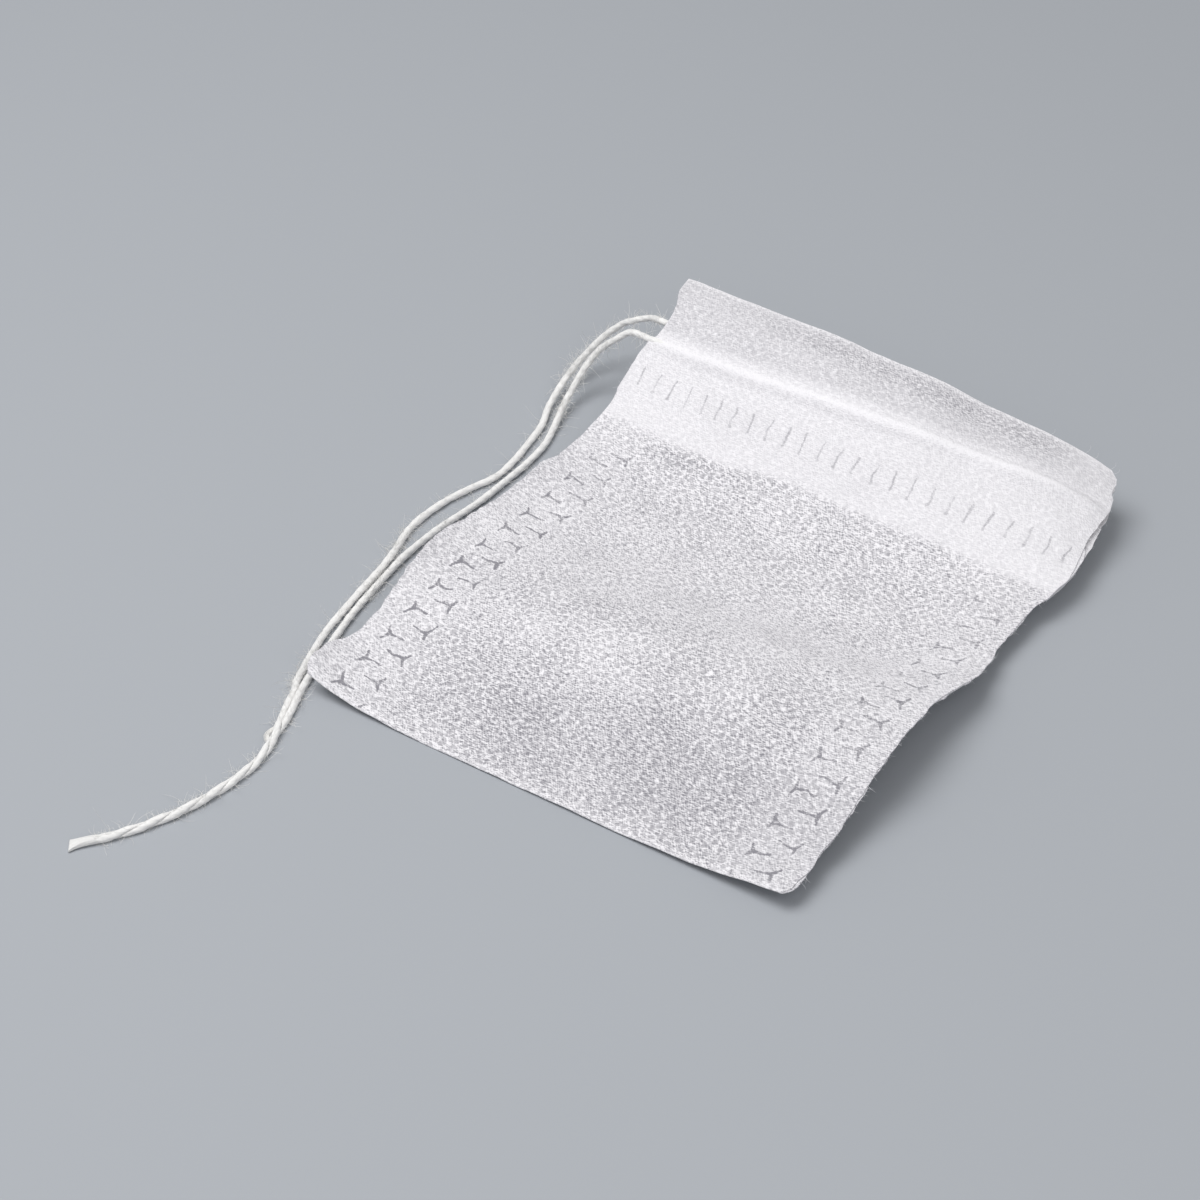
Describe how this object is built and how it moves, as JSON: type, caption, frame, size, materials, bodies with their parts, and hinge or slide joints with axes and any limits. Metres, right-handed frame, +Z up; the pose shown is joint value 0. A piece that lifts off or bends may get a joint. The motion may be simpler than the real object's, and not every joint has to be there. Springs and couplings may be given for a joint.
{
  "type": "tea filter bag",
  "caption": "Empty flat drawstring filter bag of thin white nonwoven cloth, with welded side seams, turned-in hems and a cotton string through them.",
  "frame": {"origin": "on the table, under the middle of the bag without its free string", "axes": "+Z up from the table, +Y up the bag from its bottom fold to its mouth, +X across it, away from the side where the string comes out"},
  "size_m": [0.0802, 0.1274, 0.0168],
  "materials": {
    "nonwoven_cloth": "translucent matte",
    "cotton_string": "matte"
  },
  "bodies": {
    "root": {"filter_bag": "nonwoven_cloth", "drawstring": "cotton_string"}
  },
  "joints": []
}
